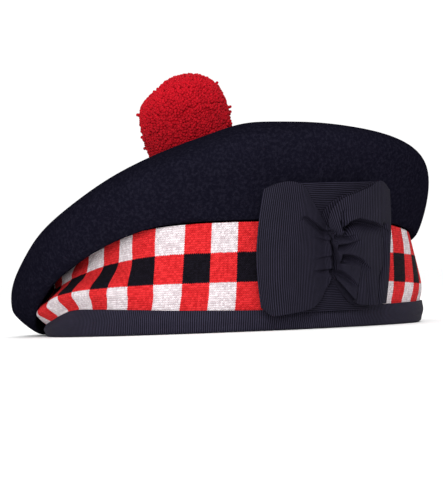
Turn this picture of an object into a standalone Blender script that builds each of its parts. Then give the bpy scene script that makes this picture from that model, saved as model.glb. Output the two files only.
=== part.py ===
"""Balmoral bonnet: felt crown, diced band, ribbon binding, wool toorie and a ribbon rosette.

Metres, +Z up. The bonnet's front looks toward -Y and the wearer's left side is +X. It lies as it
would on a table: the crown stands high over the wearer's left ear and droops over the right one.
Angles run around the head from the left ear (0) by way of the back (90).
"""

import math

import bmesh
import bpy
from mathutils import Matrix, Vector

# Head opening, measured over the outside of the band
HEAD_LENGTH = 0.205
HEAD_WIDTH = 0.164
SIDES_AROUND = 56

# Diced band
BAND_HEIGHT = 0.0565
BAND_WALL = 0.002
BAND_LEAN = 0.0087
BUCKLE_DEPTH = 0.012

# Ribbon folded over the lower edge
BINDING_HEIGHT = 0.0125
RIBBON_WALL = 0.001
BINDING_FOLD = 0.0012

# How the whole bonnet slouches as it stands: sideways shift per unit of height
SLOUCH_TO_LEFT = 0.0199
SLOUCH_TO_BACK = 0.0742

# Crown
FELT_WALL = 0.002
CROWN_RISE = 0.0517
CROWN_REACH = 0.0375
CROWN_DOME = 0.0460
CROWN_CENTRE_X = -0.0206
CROWN_CENTRE_Y = -0.0194
CROWN_BASE = 0.056
SLOPE_TO_LEFT = 0.459
SLOPE_TO_BACK = 0.118

# Toorie
TOORIE_DIAMETER = 0.0495
TOORIE_HEIGHT = 0.056
TOORIE_LEAN_X = -0.36
TOORIE_LEAN_Y = -0.21
TOORIE_SEAT = 0.86
TOORIE_ROUNDNESS = 0.80
TOORIE_GAP = 0.0010
LOCK_LENGTH = 0.0016
LOCK_SLOPE = 0.5
LOCKS_A_SIDE = 5

# Clearances
FIT_GAP = 0.0004
SEAM_GAP = 0.0009

# Rosette
ROSETTE_WIDTH = 0.074
ROSETTE_HEIGHT = 0.067
ROSETTE_DEPTH = 0.016
ROSETTE_ANGLE = 15.0
ROSETTE_MIDDLE = 0.0405
ROSETTE_BEND = 0.16
ROSETTE_TILT = 0.10
ROSETTE_SEAT = RIBBON_WALL + 2 * FIT_GAP

# How the band's wall stands, from the top of the binding (0) to the crown seam (1).
# height: share of that stretch; lean: share of BAND_LEAN, inward; buckle: share of BUCKLE_DEPTH, outward
BAND_ROWS = (
    {"height": 0.00, "lean": 0.00, "buckle": 0.00},
    {"height": 0.13, "lean": -0.09, "buckle": 0.20},
    {"height": 0.27, "lean": -0.04, "buckle": 0.36},
    {"height": 0.44, "lean": 0.18, "buckle": -0.02},
    {"height": 0.61, "lean": 0.42, "buckle": -0.42},
    {"height": 0.80, "lean": 0.70, "buckle": -0.34},
    {"height": 1.00, "lean": 1.00, "buckle": -0.26},
)
BAND_STEPS = 9

# Sections around the head. seam: height of the band's top, share of BAND_HEIGHT; lean and buckle:
# how much of each the band takes; binding: share of BINDING_HEIGHT; the other columns place the
# lowest fold of the crown's under part, its side, its rim and its crest: out is the distance beyond
# the band as a share of CROWN_REACH, and up the height as a share of the crest's full height
SECTIONS = (
    {"angle": 0, "seam": 1.000, "lean": 0.30, "buckle": 0.00, "binding": 0.86,
     "fold_out": -0.024, "fold_up": 0.575, "side_out": 0.106, "side_up": 0.750,
     "rim_out": 0.286, "rim_up": 0.915, "crest_out": 0.126, "crest_up": 0.990},
    {"angle": 30, "seam": 0.980, "lean": 0.45, "buckle": 0.00, "binding": 0.88,
     "fold_out": -0.051, "fold_up": 0.555, "side_out": 0.069, "side_up": 0.730,
     "rim_out": 0.239, "rim_up": 0.885, "crest_out": 0.059, "crest_up": 0.960},
    {"angle": 60, "seam": 0.890, "lean": 0.75, "buckle": 0.00, "binding": 0.93,
     "fold_out": -0.088, "fold_up": 0.490, "side_out": 0.022, "side_up": 0.640,
     "rim_out": 0.147, "rim_up": 0.790, "crest_out": -0.028, "crest_up": 0.885},
    {"angle": 90, "seam": 0.820, "lean": 0.85, "buckle": 0.00, "binding": 0.95,
     "fold_out": -0.009, "fold_up": 0.410, "side_out": 0.101, "side_up": 0.500,
     "rim_out": 0.151, "rim_up": 0.640, "crest_out": -0.039, "crest_up": 0.760},
    {"angle": 120, "seam": 0.820, "lean": 0.70, "buckle": 0.00, "binding": 1.00,
     "fold_out": 0.176, "fold_up": 0.320, "side_out": 0.356, "side_up": 0.350,
     "rim_out": 0.426, "rim_up": 0.425, "crest_out": 0.286, "crest_up": 0.545},
    {"angle": 150, "seam": 0.790, "lean": 0.50, "buckle": 0.05, "binding": 1.00,
     "fold_out": 0.454, "fold_up": 0.165, "side_out": 0.694, "side_up": 0.130,
     "rim_out": 0.814, "rim_up": 0.190, "crest_out": 0.714, "crest_up": 0.320},
    {"angle": 180, "seam": 0.770, "lean": 0.40, "buckle": 0.10, "binding": 1.00,
     "fold_out": 0.594, "fold_up": 0.120, "side_out": 0.884, "side_up": 0.050,
     "rim_out": 1.014, "rim_up": 0.095, "crest_out": 0.934, "crest_up": 0.225},
    {"angle": 210, "seam": 0.740, "lean": 0.40, "buckle": 0.25, "binding": 0.80,
     "fold_out": 0.598, "fold_up": 0.050, "side_out": 0.858, "side_up": -0.005,
     "rim_out": 1.023, "rim_up": 0.080, "crest_out": 0.948, "crest_up": 0.210},
    {"angle": 240, "seam": 0.700, "lean": 0.40, "buckle": 0.75, "binding": 0.50,
     "fold_out": 0.400, "fold_up": 0.012, "side_out": 0.610, "side_up": 0.000,
     "rim_out": 0.790, "rim_up": 0.140, "crest_out": 0.695, "crest_up": 0.300},
    {"angle": 270, "seam": 0.670, "lean": 0.40, "buckle": 1.35, "binding": 0.46,
     "fold_out": 0.289, "fold_up": 0.110, "side_out": 0.449, "side_up": 0.170,
     "rim_out": 0.524, "rim_up": 0.360, "crest_out": 0.359, "crest_up": 0.490},
    {"angle": 290, "seam": 0.740, "lean": 0.35, "buckle": 1.15, "binding": 1.10,
     "fold_out": 0.216, "fold_up": 0.285, "side_out": 0.396, "side_up": 0.380,
     "rim_out": 0.426, "rim_up": 0.520, "crest_out": 0.236, "crest_up": 0.620},
    {"angle": 310, "seam": 0.920, "lean": 0.30, "buckle": 0.70, "binding": 1.10,
     "fold_out": 0.132, "fold_up": 0.440, "side_out": 0.292, "side_up": 0.540,
     "rim_out": 0.352, "rim_up": 0.665, "crest_out": 0.172, "crest_up": 0.755},
    {"angle": 330, "seam": 0.995, "lean": 0.30, "buckle": 0.20, "binding": 0.98,
     "fold_out": 0.033, "fold_up": 0.545, "side_out": 0.183, "side_up": 0.670,
     "rim_out": 0.333, "rim_up": 0.800, "crest_out": 0.163, "crest_up": 0.875},
)
# A ring between the crown's seam and its lowest fold: how far it has come outward and in height
UNDER_PART_OUT = 0.62
UNDER_PART_FALL = 0.38
# Where the rings of the crown's top lie between its crest (0) and its middle (1)
TOP_RINGS = (0.22, 0.44, 0.66, 0.85)
DOME_POWER = 1.95

# Stations along each ribbon loop. along: share of the loop's length from its gathered middle; low
# and high: its edges as shares of the ribbon's width; front and back: depths of its two layers as
# shares of ROSETTE_DEPTH
BOW_STATIONS = (
    {"along": -0.56, "low": -0.44, "high": 0.45, "front": 0.66, "back": 0.49},
    {"along": -0.48, "low": -0.49, "high": 0.52, "front": 0.72, "back": 0.43},
    {"along": -0.36, "low": -0.48, "high": 0.51, "front": 0.74, "back": 0.40},
    {"along": -0.22, "low": -0.42, "high": 0.42, "front": 0.68, "back": 0.38},
    {"along": -0.10, "low": -0.24, "high": 0.26, "front": 0.56, "back": 0.33},
    {"along": 0.00, "low": -0.13, "high": 0.15, "front": 0.50, "back": 0.27},
    {"along": 0.09, "low": -0.24, "high": 0.36, "front": 0.72, "back": 0.38},
    {"along": 0.19, "low": -0.41, "high": 0.46, "front": 0.95, "back": 0.42},
    {"along": 0.31, "low": -0.42, "high": 0.53, "front": 0.96, "back": 0.43},
    {"along": 0.40, "low": -0.40, "high": 0.47, "front": 0.70, "back": 0.47},
)
UPRIGHT_STATIONS = (
    {"along": -0.47, "low": -0.36, "high": 0.33, "front": 0.26, "back": 0.13},
    {"along": -0.38, "low": -0.32, "high": 0.30, "front": 0.29, "back": 0.11},
    {"along": -0.20, "low": -0.21, "high": 0.20, "front": 0.22, "back": 0.00},
    {"along": 0.00, "low": -0.11, "high": 0.11, "front": 0.05, "back": -0.17},
    {"along": 0.20, "low": -0.21, "high": 0.22, "front": 0.26, "back": 0.00},
    {"along": 0.40, "low": -0.32, "high": 0.34, "front": 0.34, "back": 0.11},
    {"along": 0.50, "low": -0.36, "high": 0.39, "front": 0.30, "back": 0.15},
)
# Creases in the front layer, in shares of the rosette's width (along) and height (up). depth is a
# share of ROSETTE_DEPTH, into the ribbon; a negative one is a ridge
BOW_CREASES = (
    {"along": (-0.28, -0.03), "up": (0.22, 0.10), "width": 0.045, "depth": 0.16},
    {"along": (-0.16, -0.03), "up": (-0.16, -0.10), "width": 0.040, "depth": 0.14},
    {"along": (0.02, 0.34), "up": (0.23, 0.17), "width": 0.045, "depth": 0.30},
    {"along": (0.03, 0.24), "up": (-0.05, -0.12), "width": 0.045, "depth": 0.24},
    {"along": (0.13, 0.14), "up": (-0.20, -0.42), "width": 0.040, "depth": 0.14},
    {"along": (0.24, 0.25), "up": (-0.16, -0.42), "width": 0.040, "depth": 0.12},
)
LOOP_STEPS = 11
LOOP_ROWS = 9

FELT_COLOUR = (0.007, 0.007, 0.014, 1.0)
BAND_COLOUR = (0.60, 0.03, 0.04, 1.0)
RIBBON_COLOUR = (0.018, 0.017, 0.026, 1.0)
TOORIE_COLOUR = (0.45, 0.008, 0.018, 1.0)
SHARP_ANGLE = 40
TINY = 1e-6


def clear_scene():
    for obj in list(bpy.data.objects):
        bpy.data.objects.remove(obj, do_unlink=True)


def make_collection(name):
    collection = bpy.data.collections.new(name)
    bpy.context.scene.collection.children.link(collection)
    return collection


def make_material(name, colour, roughness):
    material = bpy.data.materials.new(name)
    material.use_nodes = True
    shader = material.node_tree.nodes["Principled BSDF"]
    shader.inputs["Base Color"].default_value = colour
    shader.inputs["Roughness"].default_value = roughness
    shader.inputs["Metallic"].default_value = 0.0
    return material


def slouch():
    """The shear that leans the whole bonnet over, from the surface it rests on."""
    return Matrix(((1, 0, SLOUCH_TO_LEFT, 0), (0, 1, SLOUCH_TO_BACK, 0), (0, 0, 1, 0), (0, 0, 0, 1)))


def make_object(name, bm, material, collection, parent):
    bm.transform(slouch())
    mesh = bpy.data.meshes.new(name)
    bm.to_mesh(mesh)
    bm.free()
    mesh.shade_smooth()
    mesh.set_sharp_from_angle(angle=math.radians(SHARP_ANGLE))
    obj = bpy.data.objects.new(name, mesh)
    obj.data.materials.append(material)
    obj.parent = parent
    collection.objects.link(obj)
    return obj


def add_subdivision(obj, levels):
    modifier = obj.modifiers.new("Smooth form", "SUBSURF")
    modifier.levels = levels
    modifier.render_levels = levels


def add_wall(obj, thickness):
    """Gives an open surface its wall, inward from the outer face."""
    modifier = obj.modifiers.new("Wall", "SOLIDIFY")
    modifier.thickness = thickness
    modifier.offset = -1.0
    modifier.use_even_offset = True
    modifier.use_quality_normals = True


def smooth_through(keys, values, at, period=None):
    """A smooth curve through values at rising keys, closed on itself where period is given."""
    keys, values = list(keys), list(values)
    if period is not None:
        at = at % period
        keys = [keys[-2] - period, keys[-1] - period, *keys, keys[0] + period, keys[1] + period]
        values = [values[-2], values[-1], *values, values[0], values[1]]
    else:
        keys = [2 * keys[0] - keys[1], *keys, 2 * keys[-1] - keys[-2]]
        values = [2 * values[0] - values[1], *values, 2 * values[-1] - values[-2]]
    i = 1
    while i < len(keys) - 3 and at > keys[i + 1]:
        i += 1
    span = keys[i + 1] - keys[i]
    s = (at - keys[i]) / span
    start = (values[i + 1] - values[i - 1]) / (keys[i + 1] - keys[i - 1]) * span
    end = (values[i + 2] - values[i]) / (keys[i + 2] - keys[i]) * span
    return (
        (2 * s**3 - 3 * s**2 + 1) * values[i]
        + (s**3 - 2 * s**2 + s) * start
        + (3 * s**2 - 2 * s**3) * values[i + 1]
        + (s**3 - s**2) * end
    )


def section(column, angle):
    """One column of SECTIONS at any angle in degrees."""
    return smooth_through(
        [row["angle"] for row in SECTIONS], [row[column] for row in SECTIONS], angle, 360
    )


def head_normal(angle):
    turn = math.radians(angle)
    return Vector((math.cos(turn) / HEAD_WIDTH, math.sin(turn) / HEAD_LENGTH, 0)).normalized()


def head_point(angle, out, height):
    """A point at a distance beyond the band's nominal face."""
    turn = math.radians(angle)
    on_band = Vector((HEAD_WIDTH / 2 * math.cos(turn), HEAD_LENGTH / 2 * math.sin(turn), height))
    return on_band + head_normal(angle) * out


def angles_around(count):
    return [360.0 * i / count for i in range(count)]


def band_lower_edge():
    return RIBBON_WALL + 2 * FIT_GAP


def binding_top(angle):
    return BINDING_HEIGHT * section("binding", angle)


def seam_height(angle):
    return BAND_HEIGHT * section("seam", angle)


def band_row(column, share):
    """One column of BAND_ROWS at any share of the way up to the seam."""
    return smooth_through([row["height"] for row in BAND_ROWS], [row[column] for row in BAND_ROWS], share)


def band_point(angle, share):
    lean = BAND_LEAN * band_row("lean", share) * section("lean", angle)
    buckle = BUCKLE_DEPTH * band_row("buckle", share) * section("buckle", angle)
    low, high = binding_top(angle) + FIT_GAP, seam_height(angle)
    return head_point(angle, buckle - lean, low + (high - low) * share)


def loft(bm, rings, closed_along=False, closed_round=True):
    """Joins rings of as many points each with quads, so that rising rings seen from outside turn left."""
    verts = [[bm.verts.new(point) for point in ring] for ring in rings]
    count = len(verts[0])
    pairs = list(zip(verts, verts[1:]))
    if closed_along:
        pairs.append((verts[-1], verts[0]))
    steps = count if closed_round else count - 1
    for lower, upper in pairs:
        for i in range(steps):
            j = (i + 1) % count
            bm.faces.new((lower[i], lower[j], upper[j], upper[i]))
    return verts


def make_band(material, collection, parent):
    """The knitted headband: a ring wall that leans in at the back and buckles at the left front."""
    angles = angles_around(SIDES_AROUND)
    rings = [[head_point(angle, 0, band_lower_edge()) for angle in angles]]
    for step in range(BAND_STEPS + 1):
        rings.append([band_point(angle, step / BAND_STEPS) for angle in angles])
    bm = bmesh.new()
    loft(bm, rings)
    band = make_object("diced_band", bm, material, collection, parent)
    add_wall(band, BAND_WALL)
    return band


def binding_profile(top):
    """The folded ribbon's section as (out, height), outer leg first, flat where it rests."""
    outer_face = FIT_GAP + RIBBON_WALL
    inner_face = -BAND_WALL - FIT_GAP
    inside = inner_face - RIBBON_WALL
    return (
        (outer_face, BINDING_FOLD),
        (outer_face, top),
        (FIT_GAP, top),
        (FIT_GAP, RIBBON_WALL),
        (inner_face, RIBBON_WALL),
        (inner_face, top),
        (inside, top),
        (inside, BINDING_FOLD),
        (inside + BINDING_FOLD, 0),
        (outer_face - BINDING_FOLD, 0),
    )


def make_binding(material, collection, parent):
    """The petersham ribbon folded over the band's lower edge and stitched through."""
    angles = angles_around(SIDES_AROUND)
    profiles = [binding_profile(binding_top(angle)) for angle in angles]
    rings = [
        [head_point(angle, *profile[i]) for angle, profile in zip(angles, profiles)]
        for i in range(len(profiles[0]))
    ]
    bm = bmesh.new()
    loft(bm, rings, closed_along=True)
    return make_object("binding_ribbon", bm, material, collection, parent)


def crown_plane(point):
    """Height under a point of the sloping plane that the crown's rim lies near."""
    return CROWN_BASE + SLOPE_TO_LEFT * point.x + SLOPE_TO_BACK * point.y


def crown_middle():
    middle = Vector((CROWN_CENTRE_X, CROWN_CENTRE_Y, 0))
    middle.z = crown_plane(middle) + CROWN_DOME
    return middle


def crown_edge_point(angle, name):
    full_height = BAND_HEIGHT + CROWN_RISE
    return head_point(
        angle,
        CROWN_REACH * section(name + "_out", angle),
        full_height * section(name + "_up", angle),
    )


def cage_for_edge(points):
    """The closed row of cage points whose smoothed edge passes through the given ones."""
    count = len(points)
    return [
        point + (2 * point - points[i - 1] - points[(i + 1) % count]) / 8
        for i, point in enumerate(points)
    ]


def under_part_point(seam, fold):
    """A point on the way from the seam to the lowest fold, bulging outward."""
    point = seam.lerp(fold, UNDER_PART_OUT)
    point.z = seam.z + (fold.z - seam.z) * UNDER_PART_FALL
    return point


def crown_top_point(crest, share):
    """A point of the top between the crest and the middle, domed over the sloping plane."""
    point = crest.lerp(crown_middle(), share)
    risen = 1 - (1 - share) ** DOME_POWER
    above = (crest.z - crown_plane(crest)) * (1 - risen) + CROWN_DOME * risen
    point.z = crown_plane(point) + above
    return point


def make_crown(material, collection, parent):
    """The felted crown: from the seam out over the under part, round the rim and over the top."""
    angles = angles_around(SIDES_AROUND // 2)
    seam = [band_point(angle, 1.0) + Vector((0, 0, SEAM_GAP)) for angle in angles]
    rings = [cage_for_edge(seam)]
    for name in ("fold", "side", "rim", "crest"):
        rings.append([crown_edge_point(angle, name) for angle in angles])
    rings.insert(1, [under_part_point(a, b) for a, b in zip(rings[0], rings[1])])
    crest = rings[-1]
    rings += [[crown_top_point(point, share) for point in crest] for share in TOP_RINGS]
    bm = bmesh.new()
    verts = loft(bm, rings)
    pole = bm.verts.new(crown_middle())
    last = verts[-1]
    for i, vert in enumerate(last):
        bm.faces.new((vert, last[(i + 1) % len(last)], pole))
    crown = make_object("crown", bm, material, collection, parent)
    add_subdivision(crown, 1)
    add_wall(crown, FELT_WALL)
    return crown


def make_toorie(material, collection, parent):
    """The pompom: a domed head with a flat seat, each face drawn out into a lock of wool."""
    bm = bmesh.new()
    bmesh.ops.create_cube(bm, size=2)
    bmesh.ops.subdivide_edges(bm, edges=bm.edges, cuts=LOCKS_A_SIDE - 1, use_grid_fill=True)
    head_radius = TOORIE_DIAMETER / 2 - LOCK_LENGTH
    head_half = TOORIE_HEIGHT / 2 - LOCK_LENGTH
    seat_height = -TOORIE_SEAT * head_half
    for vert in bm.verts:
        even = Vector([math.tan(math.pi / 4 * value) for value in vert.co]).normalized()
        flat = math.hypot(even.x, even.y)
        widening = flat ** (TOORIE_ROUNDNESS - 1) if flat > TINY else 0
        vert.co.x = even.x * widening * head_radius
        vert.co.y = even.y * widening * head_radius
        vert.co.z = math.copysign(abs(even.z) ** TOORIE_ROUNDNESS, even.z) * head_half
        vert.co.z = max(vert.co.z, seat_height)
    seat = [face for face in bm.faces if max(vert.co.z for vert in face.verts) < seat_height + TINY]
    locks = [face for face in bm.faces if face not in seat]
    bmesh.ops.inset_individual(
        bm, faces=locks, thickness=LOCK_LENGTH * LOCK_SLOPE, depth=LOCK_LENGTH, use_even_offset=True
    )
    lowest = min(vert.co.z for vert in bm.verts)
    axis = Vector((TOORIE_LEAN_X, TOORIE_LEAN_Y, 1)).normalized()
    turn = Vector((0, 0, 1)).rotation_difference(axis).to_matrix().to_4x4()
    base = crown_middle() + axis * (TOORIE_GAP - lowest)
    bm.transform(Matrix.Translation(base) @ turn)
    return make_object("toorie", bm, material, collection, parent)


def rosette_point(along, up, depth):
    """A point of the rosette: along the head, above its middle and out from the band's face."""
    normal = head_normal(ROSETTE_ANGLE)
    tangent = Vector((-normal.y, normal.x, 0))
    lean = ROSETTE_TILT * max(0.0, up)
    out = depth + lean - along**2 / (2 * ROSETTE_BEND)
    centre = head_point(ROSETTE_ANGLE, 0, ROSETTE_MIDDLE)
    return centre + tangent * along + normal * out + Vector((0, 0, up))


def crease_depth(creases, along, up):
    """How far the creases press a point of a front layer in."""
    pressed = 0.0
    for crease in creases:
        start = Vector((crease["along"][0] * ROSETTE_WIDTH, crease["up"][0] * ROSETTE_HEIGHT))
        end = Vector((crease["along"][1] * ROSETTE_WIDTH, crease["up"][1] * ROSETTE_HEIGHT))
        run = end - start
        point = Vector((along, up)) - start
        share = min(1.0, max(0.0, point.dot(run) / run.length_squared))
        away = (point - run * share).length / (crease["width"] * ROSETTE_WIDTH)
        pressed += crease["depth"] * ROSETTE_DEPTH * math.exp(-(away**2))
    return pressed


def ribbon_loop(stations, creases, length, width, upright):
    """A flattened loop of ribbon: its front layer, a folded end, its back layer and the other end."""
    keys = [row["along"] for row in stations]
    first, last = keys[0], keys[-1]

    def value(column, at):
        return smooth_through(keys, [row[column] for row in stations], at)

    rings = []
    for layer in ("front", "back"):
        for i in range(LOOP_STEPS):
            share = i / (LOOP_STEPS - 1)
            share = share if layer == "front" else 1 - share
            at = first + (last - first) * (1 - math.cos(math.pi * share)) / 2
            low, high = value("low", at) * width, value("high", at) * width
            ring = []
            for j in range(LOOP_ROWS):
                place = (at * length, low + (high - low) * j / (LOOP_ROWS - 1))
                along, up = reversed(place) if upright else place
                depth = value(layer, at) * ROSETTE_DEPTH
                if layer == "front":
                    depth -= crease_depth(creases, along, up)
                ring.append(rosette_point(along, up, ROSETTE_SEAT + depth))
            rings.append(ring)
    return rings


def make_loop(name, stations, creases, length, width, upright, material, collection, parent):
    """One ribbon loop of the rosette as a closed strip with a wall."""
    bm = bmesh.new()
    rings = ribbon_loop(stations, creases, length, width, upright)
    loft(bm, rings, closed_along=True, closed_round=False)
    if not upright:
        bmesh.ops.reverse_faces(bm, faces=bm.faces)
    loop = make_object(name, bm, material, collection, parent)
    add_wall(loop, RIBBON_WALL)
    return loop


def set_origin(root, objects):
    """Puts the origin under the middle of the bonnet's box, on the surface it rests on."""
    bpy.context.view_layer.update()
    graph = bpy.context.evaluated_depsgraph_get()
    corners = [
        obj.matrix_world @ Vector(corner)
        for obj in objects
        for corner in obj.evaluated_get(graph).bound_box
    ]
    low = [min(corner[i] for corner in corners) for i in range(3)]
    high = [max(corner[i] for corner in corners) for i in range(3)]
    root.location = (-(low[0] + high[0]) / 2, -(low[1] + high[1]) / 2, -low[2])


def build():
    clear_scene()
    bpy.context.scene.unit_settings.system = "METRIC"
    collection = make_collection("balmoral_bonnet")
    root = bpy.data.objects.new("bonnet_root", None)
    collection.objects.link(root)
    felt = make_material("felt", FELT_COLOUR, 0.95)
    dicing = make_material("dicing", BAND_COLOUR, 0.9)
    ribbon = make_material("ribbon", RIBBON_COLOUR, 0.6)
    wool = make_material("wool", TOORIE_COLOUR, 0.95)
    pieces = [
        make_band(dicing, collection, root),
        make_binding(ribbon, collection, root),
        make_crown(felt, collection, root),
        make_toorie(wool, collection, root),
        make_loop("rosette_upright", UPRIGHT_STATIONS, (), ROSETTE_HEIGHT, ROSETTE_WIDTH, True,
                  ribbon, collection, root),
        make_loop("rosette_bow", BOW_STATIONS, BOW_CREASES, ROSETTE_WIDTH, ROSETTE_HEIGHT, False,
                  ribbon, collection, root),
    ]
    set_origin(root, pieces)


build()
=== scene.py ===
import math

import bpy
import numpy as np
from mathutils import Matrix, Vector


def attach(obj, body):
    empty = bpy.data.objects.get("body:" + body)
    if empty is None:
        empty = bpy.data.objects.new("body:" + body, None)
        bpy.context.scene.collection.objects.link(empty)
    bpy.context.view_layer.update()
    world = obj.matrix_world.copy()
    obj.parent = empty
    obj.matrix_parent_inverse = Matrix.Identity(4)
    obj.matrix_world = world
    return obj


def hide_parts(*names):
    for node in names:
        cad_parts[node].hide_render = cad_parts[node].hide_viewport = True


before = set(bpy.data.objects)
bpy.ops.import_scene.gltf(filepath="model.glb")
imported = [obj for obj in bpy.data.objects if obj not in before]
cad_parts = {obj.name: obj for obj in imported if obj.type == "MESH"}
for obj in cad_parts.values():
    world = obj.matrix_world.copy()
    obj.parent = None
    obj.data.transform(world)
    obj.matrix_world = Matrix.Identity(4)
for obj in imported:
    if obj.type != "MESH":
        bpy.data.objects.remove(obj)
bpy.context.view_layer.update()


# Diced band: a tube of stranded knitting round the head, with three rows of dice, 42 to the round and
# 13 stitches wide, in red, white and black wool. Its lower edge is bound with ribbon, and its top is
# sewn to the crown.

STATIONS = 56
TOUCHING = 1e-5  # corners closer than this to each other, or to the floor, touch
OTHER_SIDE = -0.03  # a corner this far inward of a station belongs to the far side of the head
FACING_OUT = 0.3  # a face belongs to the outside if its normal points outward by at least this share
HEAD_HALF_WIDTH = 0.082
HEAD_HALF_LENGTH = 0.1025
SLOUCH = np.array([0.0199, 0.0742])  # sideways shift per unit of height, as the solids stand

DICE = 42
STITCHES_A_DIE = 13
ROW_HEIGHT = 0.0012
KNIT_ROWS = 48
FIRST_DIE_ROW = 7  # knitted rows below the lowest die that shows
KNIT_WALL = 0.0016
KNIT_FOOT = 0.0019  # where the knit ends, inside the binding's fold
STITCH_SLANT = 0.9  # how steeply a stitch's two legs rise to its sides, in rows for a stitch's width
LEG_BULGE = 0.7
# where the dice begin round the head: the die's number and its angles in degrees from the left ear,
# at the lowest row of dice and at the highest, as the stretched knit leans
DIE_PLACES = (
    (-11, -99.0, -103.0), (-10, -88.5, -95.0), (-9, -79.0, -84.5), (-8, -71.5, -76.5),
    (-7, -65.4, -67.4), (-6, -59.0, -58.8), (-5, -52.8, -51.5), (-4, -45.2, -46.4),
    (-3, -36.8, -38.0), (-2, -28.3, -28.3), (-1, -20.1, -20.1), (0, -12.2, -12.2), (1, -3.6, -3.6),
    (2, 5.2, 5.2), (3, 14.2, 14.4), (4, 23.4, 24.2), (5, 32.8, 34.6), (6, 42.5, 45.5),
    (7, 49.0, 54.5), (8, 56.0, 62.5), (9, 63.5, 71.5), (10, 71.0, 79.5), (13, 93.0, 98.0),
    (18, 130.0, 132.0), (22, 172.0, 172.0), (26, 222.0, 222.0),
)
LEAN_FROM, LEAN_TO = 0.014, 0.046
# how far the rows of dice are drawn down (metres), by the angle round the head
ROW_DROPS = ((-115, 0.0060), (-103, 0.0072), (-93, 0.0074), (-87, 0.0058), (-81, 0.0044), (-75, 0.0026),
             (-70, 0.0015), (-64, 0.0006), (-55, 0.0003), (-12, 0.0003), (20, 0.0014), (43, 0.0032),
             (55, 0.0042), (71, 0.0050), (90, 0.0040), (120, 0.0018), (160, 0.0003), (215, 0.0015))
# how far the knit swells out under the drooping crown, by the angle, and its share by the height
SWELLS = ((-125, 0.0), (-110, 0.0045), (-95, 0.0058), (-85, 0.0056), (-75, 0.0048), (-66, 0.0030),
          (-57, 0.0010), (-48, 0.0), (0, 0.0), (60, 0.0), (120, 0.0), (180, 0.0))
SWELL_HEIGHTS = ((0.0, 0.0), (0.0055, 0.0), (0.0085, 0.14), (0.012, 0.24), (0.019, 0.28), (0.024, 0.8),
                 (0.028, 1.0), (0.032, 0.85), (0.036, 0.35), (0.0385, 0.0), (0.080, 0.0))
# how far the lowest row's foot leans forward there, in degrees, by the angle round the head
SKEWS = ((-125, 0.0), (-108, 6.0), (-97, 7.5), (-89, 5.0), (-81, 0.6), (-76, 0.0), (0, 0.0),
         (90, 0.0), (170, 0.0))
SKEW_FROM, SKEW_TO = 0.018, 0.009


def smooth_at(keys, rows, at):
    """Reads rows of values at any place between their keys, along a smooth curve."""
    keys, rows, at = np.array(keys, float), np.array(rows, float), np.array(at, float)
    slopes = np.gradient(rows, keys, axis=0)
    i = np.clip(np.searchsorted(keys, at) - 1, 0, len(keys) - 2)
    form = at.shape + (1,) * (rows.ndim - 1)
    gap = (keys[i + 1] - keys[i]).reshape(form)
    s = (at - keys[i]).reshape(form) / gap
    s = np.clip(s, 0, 1)
    return (
        (2 * s**3 - 3 * s**2 + 1) * rows[i]
        + (s**3 - 2 * s**2 + s) * gap * slopes[i]
        + (3 * s**2 - 2 * s**3) * rows[i + 1]
        + (s**3 - s**2) * gap * slopes[i + 1]
    )


def smooth_round(keys, rows, at, turn):
    """The same for keys that close on themselves after one turn."""
    keys, rows = np.array(keys, float), np.array(rows, float)
    keys = np.concatenate([keys[-3:] - turn, keys, keys[:3] + turn])
    rows = np.concatenate([rows[-3:], rows, rows[:3]])
    start = keys[3]
    return smooth_at(keys, rows, (np.array(at, float) - start) % turn + start)


def smooth_along(arcs, ribs, at):
    """One point on each rib, a row of corners with its own arc lengths, at a length of its own."""
    ahead, behind = np.roll(np.arange(arcs.shape[1]), -1), np.roll(np.arange(arcs.shape[1]), 1)
    ahead[-1], behind[0] = arcs.shape[1] - 1, 0
    slopes = (ribs[:, ahead] - ribs[:, behind]) / (arcs[:, ahead] - arcs[:, behind])[..., None]
    every = np.arange(len(arcs))
    i = np.clip((arcs <= at[:, None]).sum(1) - 1, 0, arcs.shape[1] - 2)
    gap = (arcs[every, i + 1] - arcs[every, i])[:, None]
    s = (at[:, None] - arcs[every, i][:, None]) / gap
    return (
        (2 * s**3 - 3 * s**2 + 1) * ribs[every, i]
        + (s**3 - 2 * s**2 + s) * gap * slopes[every, i]
        + (3 * s**2 - 2 * s**3) * ribs[every, i + 1]
        + (s**3 - s**2) * gap * slopes[every, i + 1]
    )


def corners_of(mesh):
    co = np.empty(len(mesh.vertices) * 3)
    mesh.vertices.foreach_get("co", co)
    return co.reshape(-1, 3)


def set_corners(mesh, points):
    mesh.vertices.foreach_set("co", np.asarray(points, float).ravel())
    mesh.update()


def head_middle():
    """The middle of the head opening on the surface that the bonnet stands on."""
    points = corners_of(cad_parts["binding_ribbon"].data)
    ring = points[points[:, 2] < TOUCHING][:, :2]
    return (ring.min(0) + ring.max(0)) / 2


MIDDLE = head_middle()


def head_place(angle, out, height):
    """Points at a distance beyond the band's face, by the angle in degrees, slouched as the solids are."""
    turn = np.radians(angle)
    normal = np.stack([np.cos(turn) / HEAD_HALF_WIDTH, np.sin(turn) / HEAD_HALF_LENGTH], -1)
    normal /= np.linalg.norm(normal, axis=-1, keepdims=True)
    flat = np.stack([HEAD_HALF_WIDTH * np.cos(turn), HEAD_HALF_LENGTH * np.sin(turn)], -1)
    out, height = np.broadcast_to(out, turn.shape), np.broadcast_to(height, turn.shape)
    flat = MIDDLE + flat + normal * out[..., None] + SLOUCH * height[..., None]
    return np.concatenate([flat, height[..., None]], -1)


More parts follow.
